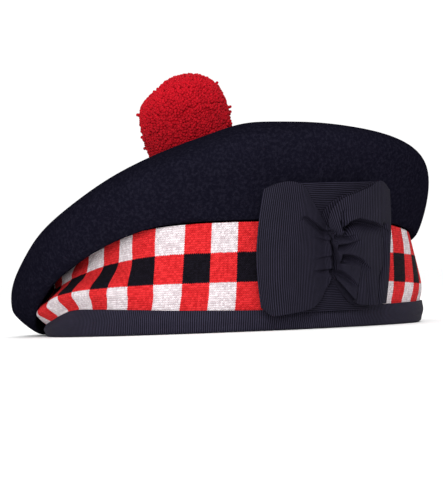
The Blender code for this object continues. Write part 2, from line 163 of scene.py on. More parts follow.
def stations_of(node):
    """A node's faces that look outward, as one rising row of corners for each station round the head."""
    mesh = node.data
    points = corners_of(mesh)
    angles = np.arange(STATIONS) * 360 / STATIONS
    base = head_place(angles, 0.0, 0.0)[:, :2]
    normal = head_place(angles, 1.0, 0.0)[:, :2] - base
    rows = [set() for _ in angles]
    for polygon in mesh.polygons:
        facing = polygon.normal
        for corner in polygon.vertices:
            x, y, z = points[corner]
            off = np.array([x, y]) - SLOUCH * z - base
            across = np.abs(off[:, 0] * normal[:, 1] - off[:, 1] * normal[:, 0])
            across[(off * normal).sum(1) < OTHER_SIDE] = 1
            k = int(across.argmin())
            if facing.x * normal[k, 0] + facing.y * normal[k, 1] > FACING_OUT:
                rows[k].add((round(z, 7), round(x, 7), round(y, 7)))
    return angles, [np.array([(x, y, z) for z, x, y in sorted(row)]) for row in rows]


def deselect():
    if bpy.context.object and bpy.context.object.mode != "OBJECT":
        bpy.ops.object.mode_set(mode="OBJECT")
    bpy.ops.object.select_all(action="DESELECT")


def pick(piece):
    deselect()
    piece.select_set(True)
    bpy.context.view_layer.objects.active = piece


def flat_cloth(name, columns, rows):
    """A strip of cloth lying flat, one unit each way, with its own flat places as its UV map."""
    deselect()
    bpy.ops.mesh.primitive_grid_add(x_subdivisions=columns, y_subdivisions=rows, size=1, calc_uvs=True)
    piece = bpy.context.object
    piece.name = piece.data.name = name
    piece.data.uv_layers[0].name = "cloth"
    flat = corners_of(piece.data)[:, :2] + 0.5
    return piece, flat[:, 0], flat[:, 1]


def set_cloth_places(piece, u, v):
    """Writes each corner's place on the flat cloth into the UV map."""
    loops = np.empty(len(piece.data.loops), int)
    piece.data.loops.foreach_get("vertex_index", loops)
    piece.data.uv_layers["cloth"].data.foreach_set("uv", np.stack([u[loops], v[loops]], 1).ravel())


SEAM_REACH = 1e-6


def close_seams(piece):
    """Joins the edges of a cloth that meet, and drops what folds up to nothing."""
    pick(piece)
    bpy.ops.object.mode_set(mode="EDIT")
    bpy.ops.mesh.select_all(action="SELECT")
    bpy.ops.mesh.remove_doubles(threshold=SEAM_REACH)
    bpy.ops.mesh.dissolve_degenerate(threshold=SEAM_REACH)
    bpy.ops.object.mode_set(mode="OBJECT")


def add_wall(piece, wall, offset=-1.0):
    """Gives a cloth its thickness: inward of its faces, or half to each side with an offset of 0."""
    pick(piece)
    modifier = piece.modifiers.new("Wall", "SOLIDIFY")
    modifier.thickness = wall
    modifier.offset = offset
    modifier.use_quality_normals = True
    bpy.ops.object.modifier_apply(modifier=modifier.name)


def finish_piece(piece, material, slot, *nodes):
    """Smooth shading, its material, and its place on the body."""
    pick(piece)
    bpy.ops.object.shade_smooth()
    piece.data.materials.clear()
    piece.data.materials.append(material)
    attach(piece, "root")
    if nodes:
        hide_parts(*nodes)


class Wire:
    """A shader socket that can be added, multiplied and compared like a number."""

    def __init__(self, finish, socket):
        self.finish, self.socket = finish, socket

    def maths(self, operation, *values):
        return self.finish.add("ShaderNodeMath", {"operation": operation}, dict(enumerate(values)))

    def __add__(self, other):
        return self.maths("ADD", self, other)

    __radd__ = __add__

    def __mul__(self, other):
        return self.maths("MULTIPLY", self, other)

    __rmul__ = __mul__

    def __sub__(self, other):
        return self.maths("SUBTRACT", self, other)

    def __rsub__(self, other):
        return self.maths("SUBTRACT", other, self)

    def __truediv__(self, other):
        return self.maths("DIVIDE", self, other)

    def __mod__(self, other):
        return self.maths("FLOORED_MODULO", self, other)

    def __pow__(self, other):
        return self.maths("POWER", self, other)

    def __gt__(self, other):
        return self.maths("GREATER_THAN", self, other)

    def __abs__(self):
        return self.maths("ABSOLUTE", self)

    def __floor__(self):
        return self.maths("FLOOR", self)

    def sine(self):
        return self.maths("SINE", self)

    def output(self, key):
        """Another output of the same node."""
        return Wire(self.finish, self.socket.node.outputs[key])


class Finish:
    """A material that gets its nodes as the expressions for its look are written."""

    def __init__(self, name):
        self.material = bpy.data.materials.new(name)
        self.material.use_nodes = True
        self.tree = self.material.node_tree
        self.shader = self.tree.nodes["Principled BSDF"]

    def add(self, kind, settings=None, sockets=None, output=0):
        node = self.tree.nodes.new(kind)
        for key, value in (settings or {}).items():
            setattr(node, key, value)
        for key, value in (sockets or {}).items():
            self.join(node.inputs[key], value)
        return Wire(self, node.outputs[output])

    def join(self, socket, value):
        if isinstance(value, Wire):
            self.tree.links.new(value.socket, socket)
        else:
            socket.default_value = value

    def set(self, **sockets):
        """Sets or joins the shader's sockets, each named in lower case with underscores."""
        for key, value in sockets.items():
            name = key.replace("_", " ").title().replace("Ior", "IOR")
            self.join(self.shader.inputs[name], value)

    def object_place(self):
        return self.add("ShaderNodeTexCoord", output=3)

    def cloth_place(self):
        """The two flat coordinates on the cloth."""
        both = self.add("ShaderNodeUVMap", {"uv_map": "cloth"})
        along = self.add("ShaderNodeSeparateXYZ", sockets={0: both})
        return along, along.output(1)

    def noise(self, place, scale, detail=2.0, roughness=0.5):
        return self.add("ShaderNodeTexNoise", sockets={
            "Vector": place, "Scale": scale, "Detail": detail, "Roughness": roughness})

    def blend(self, share, one, other):
        return self.add("ShaderNodeMix", {"data_type": "RGBA"}, {0: share, 6: one, 7: other}, 2)

    def ease(self, value, low, high):
        """0 below low, 1 above high and smooth between."""
        return self.add("ShaderNodeMapRange", {"interpolation_type": "SMOOTHSTEP"},
                        {"Value": value, "From Min": low, "From Max": high})

    def place(self, x, y, z=0.0):
        return self.add("ShaderNodeCombineXYZ", sockets={0: x, 1: y, 2: z})

    def bump(self, height, distance, strength):
        return self.add("ShaderNodeBump", sockets={
            "Height": height, "Distance": distance, "Strength": strength})


def stitch_angles(stitches, heights):
    """The angle round the head of each stitch in each row, as the stretched knit leans."""
    numbers = np.array([row[0] for row in DIE_PLACES], float)
    numbers = np.concatenate([numbers[-3:] - DICE, numbers, numbers[:3] + DICE])
    columns = np.arange(stitches + 1) / stitches * DICE + DIE_PLACES[0][0]
    leans = []
    for level in (1, 2):
        places = np.array([row[level] for row in DIE_PLACES])
        places = np.concatenate([places[-3:] - 360, places, places[:3] + 360])
        leans.append(smooth_at(numbers, places, columns))
    share = np.clip((heights - LEAN_FROM) / (LEAN_TO - LEAN_FROM), 0, 1)
    round_angles = leans[0][:, None] * (1 - share) + leans[1][:, None] * share
    foot = np.clip((SKEW_FROM - heights) / (SKEW_FROM - SKEW_TO), 0, 1)
    return round_angles + smooth_round(*zip(*SKEWS), round_angles, 360) * foot


def knit_band():
    """The knit as a sheet of stitches, laid on the solid's outer face and swelled where it buckles."""
    angles, rows = stations_of(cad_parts["diced_band"])
    wall = np.array(rows)
    stitches = DICE * STITCHES_A_DIE
    piece, u, v = flat_cloth("diced_band_knit", stitches, KNIT_ROWS)
    heights = np.arange(KNIT_ROWS + 1) * ROW_HEIGHT
    round_angles = stitch_angles(stitches, heights)
    drops = smooth_round(*zip(*ROW_DROPS), round_angles, 360)
    along = heights - drops
    surface = np.empty((stitches + 1, KNIT_ROWS + 1, 3))
    for k in range(KNIT_ROWS + 1):
        ribs = smooth_round(angles, wall, round_angles[:, k], 360)
        ribs[:, 0, 2] = KNIT_FOOT
        steps = np.linalg.norm(np.diff(ribs, axis=1), axis=2)
        arcs = np.concatenate([np.zeros((len(ribs), 1)), np.cumsum(steps, 1)], 1)
        along[:, k] = np.clip(along[:, k], 0, arcs[:, -1])
        surface[:, k] = smooth_along(arcs, ribs, along[:, k])
    out = smooth_round(*zip(*SWELLS), round_angles, 360) * np.interp(surface[..., 2], *zip(*SWELL_HEIGHTS))
    surface += (head_place(round_angles, 1.0, 0.0) - head_place(round_angles, 0.0, 0.0)) * out[..., None]
    flat_rows = (along + drops) / ROW_HEIGHT
    column = np.rint(u * stitches).astype(int)
    row = np.rint(v * KNIT_ROWS).astype(int)
    set_corners(piece.data, surface[column, row])
    set_cloth_places(piece, column.astype(float), flat_rows[column, row])
    close_seams(piece)
    add_wall(piece, KNIT_WALL)
    return piece


def knit_finish():
    """Stocking stitch in three wools: each stitch a V, the colours changing at the stitch, with painted shade
    in the crevices between the stitches.
    """
    look = Finish("knitted dicing")
    u, v = look.cloth_place()
    wobble = look.noise(look.place(u, v), 0.35, 1.0) - 0.5
    side = abs((u % 1.0) - 0.5)
    slant = v - side * STITCH_SLANT + wobble * 0.5
    row = math.floor(slant)
    leg = slant % 1.0
    edge = u + (abs(leg - 0.5) - 0.25) * LEG_BULGE + wobble * 0.25
    stitch = math.floor(edge)
    die = math.floor(stitch / STITCHES_A_DIE)
    level = math.floor((row - FIRST_DIE_ROW + STITCHES_A_DIE) / STITCHES_A_DIE)
    odd_die = (die + (DIE_PLACES[0][0] % 2)) % 2.0
    odd_level = level % 2.0
    tint = look.add("ShaderNodeTexWhiteNoise", {"noise_dimensions": "2D"},
                    {"Vector": look.place(stitch, row)})
    red = look.blend(tint, (0.44, 0.010, 0.012, 1), (0.65, 0.025, 0.028, 1))
    white = look.blend(tint, (0.46, 0.41, 0.43, 1), (0.69, 0.65, 0.67, 1))
    black = look.blend(tint, (0.002, 0.0015, 0.0035, 1), (0.005, 0.004, 0.008, 1))
    red_and_white = look.blend(odd_level, red, white)
    black_and_red = look.blend(odd_level, black, red)
    wool = look.blend(odd_die, black_and_red, red_and_white)
    yarn = 1 - (abs(leg - 0.5) * 2.0) ** 2.0
    groove = look.ease(side, 0.0, 0.10) * look.ease(0.5 - side, 0.0, 0.10)
    relief = yarn * (groove * 0.6 + 0.4)
    ply = look.noise(look.place(u + leg, v), 6.0, 2.0)
    # painted shade: in the crevices between and round the stitches (gap) red wool is painted a deeper red;
    # white dice show the pink of the red floats there, and black dice stay black
    gap = 1 - look.ease(relief + ply * 0.2, 0.15, 0.62)
    crevice_shade_and_floats = look.blend(odd_level * odd_die, (0.17, 0.004, 0.007, 1), (0.46, 0.24, 0.27, 1))
    crevice_colour = look.blend((1 - odd_level) * (1 - odd_die), crevice_shade_and_floats, (0.003, 0.001, 0.002, 1))
    colour = look.blend(gap * 0.55, wool, crevice_colour)
    look.set(base_color=colour, roughness=0.92, specular_ior_level=0.08,
             normal=look.bump(relief + ply * 0.25, 0.0005, 0.8))
    return look.material


band = knit_band()
finish_piece(band, knit_finish(), "dicing", "diced_band")


# Ribbon binding: black petersham ribbon folded over the band's lower edge, so that it shows as much
# inside as outside, and stitched through near its woven edges. Its ribs stand upright, a millimetre
# apart.

RIBBON_WALL = 0.0008
BINDING_OUT = 0.0009
BINDING_IN = -0.0029
BINDING_SWELL = 0.0008  # how far its outer face stands round
RIB_PITCH = 0.00105
HEAD_ROUND = 0.588
BINDING_WIDTH = 0.028
BINDING_STEPS_ROUND = 560
BINDING_STEPS_ACROSS = 30
# where the drooping crown pulls its edge up: the angle, how far round it reaches, and how far up
EDGE_LIFT = {"angle": 272, "reach": 8, "up": 0.0024}


def turn_faces(piece):
    """Turns a cloth's faces to look out from its other side."""
    pick(piece)
    bpy.ops.object.mode_set(mode="EDIT")
    bpy.ops.mesh.select_all(action="SELECT")
    bpy.ops.mesh.flip_normals()
    bpy.ops.object.mode_set(mode="OBJECT")


def fold_binding():
    """The ribbon's path up the outside, round the fold and up the inside, at each angle."""
    angles, rows = stations_of(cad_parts["binding_ribbon"])
    tops = np.array([row[:, 2].max() for row in rows])
    piece, u, v = flat_cloth("binding_ribbon_petersham", BINDING_STEPS_ROUND, BINDING_STEPS_ACROSS)
    column = np.rint(u * BINDING_STEPS_ROUND).astype(int)
    row = np.rint(v * BINDING_STEPS_ACROSS).astype(int)
    angle = np.arange(BINDING_STEPS_ROUND + 1) * 360 / BINDING_STEPS_ROUND
    lift = EDGE_LIFT["up"] * np.exp(-(((angle - EDGE_LIFT["angle"]) / EDGE_LIFT["reach"]) ** 2))
    top = smooth_round(angles, tops, angle, 360) + lift
    across = BINDING_STEPS_ACROSS + 1
    fold = (BINDING_OUT - BINDING_IN) / 2
    places = np.empty((len(angle), across, 3))
    for k in range(len(angle)):
        leg = top[k] - fold - RIBBON_WALL / 2
        s = np.linspace(0, 2 * leg + math.pi * fold, across)
        past_fold = s - leg - math.pi * fold
        turn = np.clip((s - leg) / fold, 0, math.pi)
        out = (BINDING_OUT + BINDING_IN) / 2 + fold * np.cos(turn)
        out += BINDING_SWELL * np.sin(math.pi * np.clip(s / leg, 0, 1)) ** 2
        height = fold + RIBBON_WALL / 2 - fold * np.sin(turn)
        height += np.where(s < leg, leg - s, 0) + np.where(past_fold > 0, past_fold, 0)
        places[k] = head_place(np.full(across, angle[k]), out, height)
    set_corners(piece.data, places[column, row])
    set_cloth_places(piece, u * HEAD_ROUND, v * BINDING_WIDTH)
    turn_faces(piece)
    close_seams(piece)
    add_wall(piece, RIBBON_WALL, 0.0)
    return piece


def ribbon_finish(name, light):
    """Corded ribbon: ribs across its length, with a fine warp over them and painted shade in the grooves
    between the ribs; light scales its ground as painted light.
    """
    look = Finish(name)
    u, v = look.cloth_place()
    sway = look.noise(look.place(u, v), 60.0, 2.0) - 0.5
    rib = (u / RIB_PITCH + sway * 0.6) * (2 * math.pi)
    rib = look.ease(rib.sine(), -0.7, 0.7)
    warp = look.noise(look.place(u * 0.25, v), 3200.0, 2.0)
    worn = look.noise(look.place(u, v), 130.0, 3.0)
    # painted light: light brightens the ground of a piece that the lamps light more
    ground = look.blend(worn, (0.0130 * light, 0.0117 * light, 0.0208 * light, 1),
                        (0.0234 * light, 0.0208 * light, 0.0364 * light, 1))
    # painted shade: the grooves between the ribs are painted nearly black
    colour = look.blend(rib * 0.8 + warp * 0.2, (0.0012, 0.0010, 0.0022, 1), ground)
    look.set(base_color=colour, roughness=0.6 + worn * 0.15, specular_ior_level=0.04,
             normal=look.bump(rib + warp * 0.2, 0.0004, 0.9))
    return look.material


binding = fold_binding()
# painted light: the binding's ground is painted half again as light as the rosette's
finish_piece(binding, ribbon_finish("black petersham", light=1.5), "ribbon", "binding_ribbon")


# Crown: one piece of knitted wool, fulled and napped to a thick felt, blocked wide and pulled over to
# the right. It is sewn to the top of the band, droops over it and has no lining.

# the lowest fold of the drooping side clings to the band: by the angle, its height as blocked, how far
# it is drawn in and how far it sags (metres)
FOLD_CLING = (
    (-180, 0.0070, 0.0, 0.0), (-170, 0.0055, 0.0, 0.0), (-155, 0.0030, 0.0020, 0.0),
    (-140, 0.0018, 0.0060, 0.0004), (-125, 0.0018, 0.0090, 0.0010), (-112, 0.0050, 0.0095, 0.0032),
    (-100, 0.0090, 0.0068, 0.0044), (-90, 0.0140, 0.0044, 0.0024), (-80, 0.0210, 0.0026, 0.0008),
    (-74, 0.0260, 0.0010, 0.0), (-66, 0.0340, 0.0, 0.0), (0, 0.0500, 0.0, 0.0), (60, 0.0500, 0.0, 0.0),
    (120, 0.0400, 0.0, 0.0),
)
CLING_REACH = 0.0095
CLING_FALL = 1.3  # how fast the drawing in dies out upward
FLOOR_GAP = 0.0004
BLOCK_EASE = 0.8  # how much of what the rounding takes off is put back in a pass
BLOCK_PASSES = 2
VIEW_TURN = 75.0  # degrees round from the front to the side with the rosette, where it is seen from
SEEN_RIGHT = np.array([math.cos(math.radians(VIEW_TURN)), math.sin(math.radians(VIEW_TURN))])
# soft swellings and hollows as seen from the wearer's left: place along and up, reach, and move
CROWN_NUDGES = (
    {"at": (0.008, 0.110), "reach": 0.016, "move": (0.0, 0.0017)},
    {"at": (-0.063, 0.085), "reach": 0.022, "move": (-0.0003, 0.0006)},
    {"at": (-0.116, 0.042), "reach": 0.017, "move": (0.0020, -0.0004)},
)


def seen(points):
    """Places along and up, as seen from the wearer's left."""
    return (points[:, :2] - MIDDLE) @ SEEN_RIGHT, points[:, 2]


def nudge(points, nudges):
    """Moves points by smooth swellings, given along and up as seen from the wearer's left."""
    along, up = seen(points)
    moved = points.copy()
    for row in nudges:
        far = np.hypot(along - row["at"][0], up - row["at"][1]) / row["reach"]
        share = np.exp(-(far**2))
        moved[:, :2] += SEEN_RIGHT * (row["move"][0] * share)[:, None]
        moved[:, 2] += row["move"][1] * share
    return moved


def cling(points):
    """Draws the crown's lowest fold in to the band."""
    flat = points[:, :2] - MIDDLE - SLOUCH * points[:, 2:]
    angle = np.degrees(np.arctan2(flat[:, 1] / HEAD_HALF_LENGTH, flat[:, 0] / HEAD_HALF_WIDTH))
    rows = smooth_round([row[0] for row in FOLD_CLING], [row[1:] for row in FOLD_CLING], angle, 360)
    share = np.clip(1 - (points[:, 2] - rows[:, 0]) / CLING_REACH, 0, 1) ** CLING_FALL
    inward = head_place(angle, 0.0, 0.0) - head_place(angle, 1.0, 0.0)
    moved = points + inward * (rows[:, 1] * share)[:, None]
    moved[:, 2] = np.maximum(moved[:, 2] - rows[:, 2] * share, FLOOR_GAP)
    return moved


def felt_crown():
    """The blocked shell with its facets rounded off and its lowest fold drawn in."""
    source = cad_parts["crown"]
    piece = source.copy()
    piece.data = source.data.copy()
    piece.name = piece.data.name = "crown_felt"
    for key in list(piece.keys()):
        if key.startswith("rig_"):  # the frame's marks on the solid, which the copy doesn't keep
            del piece[key]
    bpy.context.scene.collection.objects.link(piece)
    piece.parent = None
    pick(piece)
    bpy.ops.mesh.customdata_custom_splitnormals_clear()
    bpy.ops.object.mode_set(mode="EDIT")
    bpy.ops.mesh.select_all(action="SELECT")
    bpy.ops.mesh.remove_doubles(threshold=TOUCHING)
    widest = math.radians(60)
    bpy.ops.mesh.tris_convert_to_quads(face_threshold=widest, shape_threshold=widest)
    bpy.ops.object.mode_set(mode="OBJECT")
    modifier = piece.modifiers.new("Soft form", "SUBSURF")
    modifier.levels = modifier.render_levels = 1
    true = corners_of(piece.data)
    eased = true.copy()
    for _ in range(BLOCK_PASSES):
        set_corners(piece.data, eased)
        smoothed = piece.evaluated_get(bpy.context.evaluated_depsgraph_get()).data
        eased += (true - corners_of(smoothed)[:len(true)]) * BLOCK_EASE
    set_corners(piece.data, eased)
    modifier.levels = modifier.render_levels = 2
    bpy.ops.object.modifier_apply(modifier=modifier.name)
    set_corners(piece.data, nudge(cling(corners_of(piece.data)), CROWN_NUDGES))
    return piece


def felt_finish():
    """Dark navy felt: matted fibre in all directions and a little pale lint."""
    look = Finish("navy felt")
    place = look.object_place()
    clouds = look.noise(place, 38.0, 3.0)
    matting = look.noise(place, 620.0, 4.0, 0.65)
    fibre = look.noise(place, 2600.0, 2.0, 0.7)
    base = look.blend(clouds, (0.0030, 0.0028, 0.0058, 1), (0.0044, 0.0041, 0.0084, 1))
    matted = look.blend(look.ease(matting, 0.42, 0.68) * 0.8, base, (0.0088, 0.0082, 0.0145, 1))
    cells = look.add("ShaderNodeTexVoronoi", {"feature": "F1"}, {"Vector": place, "Scale": 150.0})
    chance = look.add("ShaderNodeSeparateColor", sockets={0: cells.output("Color")})
    lint = (1 - look.ease(cells + fibre * 0.1, 0.06, 0.14)) * (chance > 0.9)
    colour = look.blend(lint * 0.6, matted, (0.040, 0.039, 0.050, 1))
    look.set(base_color=colour, roughness=1.0, specular_ior_level=0.0,
             normal=look.bump(matting + fibre * 0.4, 0.0006, 0.8))
    return look.material


crown = felt_crown()
finish_piece(crown, felt_finish(), "felt", "crown")


# Toorie: the wool pompom on the middle of the crown, of yarn wound, tied and cut, so that its surface
# is all cut ends standing side by side. It is tied through the crown.

TOORIE_WIDTH = 0.0495
TOORIE_HEIGHT = 0.056
TOORIE_SQUARENESS = 0.80
TOORIE_LEAN = (-0.36, -0.21, 1.0)
YARN_ENDS = 5000
YARN_RADIUS = 0.00095
YARN_LENGTH = 0.0055
YARN_GAP = 0.0013  # from the felt to the lowest ends
YARN_SEED = 7
YARN_SIDES = 5
YARN_RINGS = ((0.0, 0.85), (0.6, 1.05), (0.93, 0.85))  # share of the length, share of the radius
THIN, THICK = 0.85, 1.15  # the thinnest and the thickest end, as shares of the radius
WAYS_AN_END = 5  # directions to choose each end's own from
# how far the ends stand beyond the pompom's form
REACH_MIDDLE, REACH_SPREAD = -0.0003, 0.00036
REACH_LEAST, REACH_MOST = -0.0012, 0.0004
STRAY_SHARE = 0.006
STRAY_REACH = 0.0013
# two longer ends, along and up as seen from the wearer's left
LONG_ENDS = ((-0.0482, 0.1202), (0.0029, 0.1226))
LONG_REACH = 0.0018
# an end points partly along its way and partly straight out from the middle, and strays a little
WAY_PART, OUT_PART, LEAN_SPREAD = 0.55, 0.45, 0.16
ACROSS_YARN = (0.31, 0.17, 0.93)  # a direction that hardly any end lies along
# an end's tint is partly by chance and partly painted shade by height, from deep below the middle to bright
# above
CHANCE_PART, SHADE_BY_HEIGHT_PART = 0.35, 0.65
SHADE_FROM_HEIGHT, SHADE_OVER_HEIGHT = -0.45, 0.75
CORE_SHARE = 0.93
TOORIE_NUDGES = (
    {"at": (-0.0450, 0.1215), "reach": 0.0070, "move": (-0.0008, 0.0)},
    {"at": (-0.0385, 0.1335), "reach": 0.0075, "move": (0.0012, -0.0011)},
    {"at": (-0.0050, 0.1310), "reach": 0.0080, "move": (0.0004, 0.0004)},
)


def toorie_frame():
    """The pompom's middle and its own axes, from the solid's lowest and highest corners."""
    points = corners_of(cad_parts["toorie"].data)
    axis = Vector(TOORIE_LEAN).normalized()
    turn = np.array(Vector((0, 0, 1)).rotation_difference(axis).to_matrix())
    slouch = np.eye(3)
    slouch[:2, 2] = SLOUCH
    turn = slouch @ turn
    local = points @ np.linalg.inv(turn).T
    middle = (local.min(0) + local.max(0)) / 2
    middle[2] = local[:, 2].max() - TOORIE_HEIGHT / 2
    return turn @ middle, turn


def pompom_places(ways, size=1.0):
    """Points on the pompom's form in its own axes, by direction."""
    flat = np.hypot(ways[:, 0], ways[:, 1])
    widening = np.maximum(flat, 1e-6) ** (TOORIE_SQUARENESS - 1)
    x = ways[:, 0] * widening * TOORIE_WIDTH / 2
    y = ways[:, 1] * widening * TOORIE_WIDTH / 2
    z = np.sign(ways[:, 2]) * np.abs(ways[:, 2]) ** TOORIE_SQUARENESS * TOORIE_HEIGHT / 2
    return np.stack([x, y, z], 1) * size


def seat_on_crown(points, middle, gap):
    """Draws the lowest points in towards the pompom's middle, so that they only touch the felt."""
    seated = points.copy()
    for k, point in enumerate(points):
        way = Vector(point - middle)
        hit, place, _, _ = crown.ray_cast(Vector(middle), way, distance=way.length + gap)
        if hit:
            seated[k] = np.array(place - way.normalized() * gap)
    return seated


def even_ways(count):
    """Directions spread evenly over a ball."""
    k = np.arange(count) + 0.5
    z = 1 - 2 * k / count
    turn = k * math.pi * (3 - math.sqrt(5))
    flat = np.sqrt(1 - z * z)
    return np.stack([flat * np.cos(turn), flat * np.sin(turn), z], 1)


def spread_ways(count):
    """Directions whose places on the pompom are spread evenly, each far from those before it."""
    ways = even_ways(count * WAYS_AN_END)
    spots = pompom_places(ways)
    chosen = [0]
    far = np.full(len(spots), np.inf)
    for _ in range(count - 1):
        far = np.minimum(far, ((spots - spots[chosen[-1]]) ** 2).sum(1))
        chosen.append(int(far.argmax()))
    return ways[chosen]


def yarn_reaches(rng, places):
    """How far each end stands beyond the pompom's form, a few of them by more."""
    reach = rng.normal(REACH_MIDDLE, REACH_SPREAD, YARN_ENDS).clip(REACH_LEAST, REACH_MOST)
    reach[rng.random(YARN_ENDS) < STRAY_SHARE] = STRAY_REACH
    along, up = seen(places)
    for place in LONG_ENDS:
        reach[np.hypot(along - place[0], up - place[1]).argmin()] = LONG_REACH
    return reach


def yarn_faces():
    """The faces of one end: its sides from ring to ring, then those that meet at its tip."""
    tip = len(YARN_RINGS) * YARN_SIDES
    faces = []
    for start in range(0, tip, YARN_SIDES):
        for j in range(YARN_SIDES):
            one, other = start + j, start + (j + 1) % YARN_SIDES
            if start + YARN_SIDES < tip:
                faces.append((one, other, other + YARN_SIDES, one + YARN_SIDES))
            else:
                faces.append((one, other, tip))
    return faces


def cut_yarn_toorie():
    """All the cut ends as one mesh; its UV map holds each end's tint, with its painted shade by height, and
    the place along it.
    """
    rng = np.random.default_rng(YARN_SEED)
    middle, axes = toorie_frame()
    ways = spread_ways(YARN_ENDS)
    tips = pompom_places(ways)
    reach = yarn_reaches(rng, tips @ axes.T + middle)
    lean = ways * WAY_PART + tips / np.linalg.norm(tips, axis=1)[:, None] * OUT_PART
    lean += rng.normal(0, LEAN_SPREAD, ways.shape)
    lean /= np.linalg.norm(lean, axis=1)[:, None]
    tips = seat_on_crown((tips + lean * reach[:, None]) @ axes.T + middle, middle, YARN_GAP)
    tips = (tips - middle) @ np.linalg.inv(axes).T
    roots = tips - lean * YARN_LENGTH
    side = np.cross(lean, np.array(ACROSS_YARN))
    side /= np.linalg.norm(side, axis=1)[:, None]
    other = np.cross(lean, side)
    thick = YARN_RADIUS * rng.uniform(THIN, THICK, YARN_ENDS)
    corners, shares = [], []
    for share, width in YARN_RINGS:
        for j in range(YARN_SIDES):
            turn = 2 * math.pi * j / YARN_SIDES
            away = side * math.cos(turn) + other * math.sin(turn)
            corners.append(roots + (tips - roots) * share + away * (thick * width)[:, None])
            shares.append(share)
    corners = np.stack([*corners, tips], 1)
    shares = [*shares, 1.0]
    per, sides = len(shares), yarn_faces()
    faces = [tuple(n * per + i for i in face) for n in range(YARN_ENDS) for face in sides]
    points = nudge(corners.reshape(-1, 3) @ axes.T + middle, TOORIE_NUDGES)
    mesh = bpy.data.meshes.new("toorie_yarn")
    mesh.from_pydata(points.tolist(), [], faces)
    mesh.uv_layers.new(name="cloth")
    # painted shade: the lower ends get a darker tint
    rise = np.clip((tips[:, 2] / TOORIE_HEIGHT - SHADE_FROM_HEIGHT) / SHADE_OVER_HEIGHT, 0, 1)
    tint = np.repeat(rng.random(YARN_ENDS) * CHANCE_PART + rise * SHADE_BY_HEIGHT_PART, per)
    along = np.tile(np.array(shares), YARN_ENDS)
    piece = bpy.data.objects.new("toorie_yarn", mesh)
    bpy.context.scene.collection.objects.link(piece)
    set_cloth_places(piece, tint, along)
    return piece, middle, axes


def toorie_core(middle, axes):
    """The wound wool inside, painted darker as shade between the ends."""
    deselect()
    bpy.ops.mesh.primitive_ico_sphere_add(subdivisions=5, radius=1.0)
    core = bpy.context.object
    core.name = core.data.name = "toorie_core"
    ways = corners_of(core.data)
    ways /= np.linalg.norm(ways, axis=1)[:, None]
    points = seat_on_crown(pompom_places(ways, CORE_SHARE) @ axes.T + middle, middle, 2 * YARN_GAP)
    set_corners(core.data, nudge(points, TOORIE_NUDGES))
    return core


def wool_finish():
    """Cut yarn: painted shade darker towards each end's root, each end with a tint of its own, the lower ones
    painted darker as shade.
    """
    look = Finish("red wool yarn")
    tint, along = look.cloth_place()
    fuzz = look.noise(look.object_place(), 3000.0, 2.0)
    # painted shade: each end darkens towards its root, deep among the others
    near_tip = look.ease(along, 0.60, 0.96)
    bright = look.blend(tint, (0.13, 0.0010, 0.0035, 1), (0.425, 0.0042, 0.012, 1))
    shaded_near_root = look.blend(tint, (0.09, 0.0007, 0.0025, 1), (0.31, 0.0028, 0.0075, 1))
    colour = look.blend(near_tip, shaded_near_root, bright)
    look.set(base_color=colour, roughness=0.9, specular_ior_level=0.08,
             normal=look.bump(fuzz, 0.0005, 0.6))
    return look.material


def core_finish():
    """The wool that shows between the ends, its colour darker as painted shade."""
    look = Finish("wound wool")
    shade = look.noise(look.object_place(), 900.0, 2.0)
    # painted shade: darker than the tips of the ends
    colour = look.blend(shade, (0.22, 0.0014, 0.005, 1), (0.32, 0.0026, 0.008, 1))
    look.set(base_color=colour, roughness=0.95, specular_ior_level=0.05,
             normal=look.bump(shade, 0.0006, 0.8))
    return look.material


toorie, toorie_middle, toorie_axes = cut_yarn_toorie()
core = toorie_core(toorie_middle, toorie_axes)
finish_piece(toorie, wool_finish(), "wool", "toorie")
finish_piece(core, core_finish(), "wool")


# Rosette: two flattened loops of black grosgrain on the wearer's left. One stands upright at the back,
# and a wide bow lies over it. Both are gathered at the middle with thread and sewn to the band.

ROSETTE_WIDTH = 0.074
ROSETTE_HEIGHT = 0.067
ROSETTE_DEPTH = 0.016
ROSETTE_ANGLE = 15.0
ROSETTE_MIDDLE = 0.0405
ROSETTE_BEND = 0.16
ROSETTE_TILT = 0.10
ROSETTE_SEAT = 0.0018
GROSGRAIN_WALL = 0.0006
ROSETTE_SIZE = np.array([ROSETTE_WIDTH, ROSETTE_HEIGHT])
# how a pleat starts (share of its line), fades along its line and falls off beside it, and how wide
# the step between its two sides is (metres)
PLEAT_START, PLEAT_FADE, PLEAT_FALL, PLEAT_EDGE = 0.05, 0.6, 1.3, 0.00035

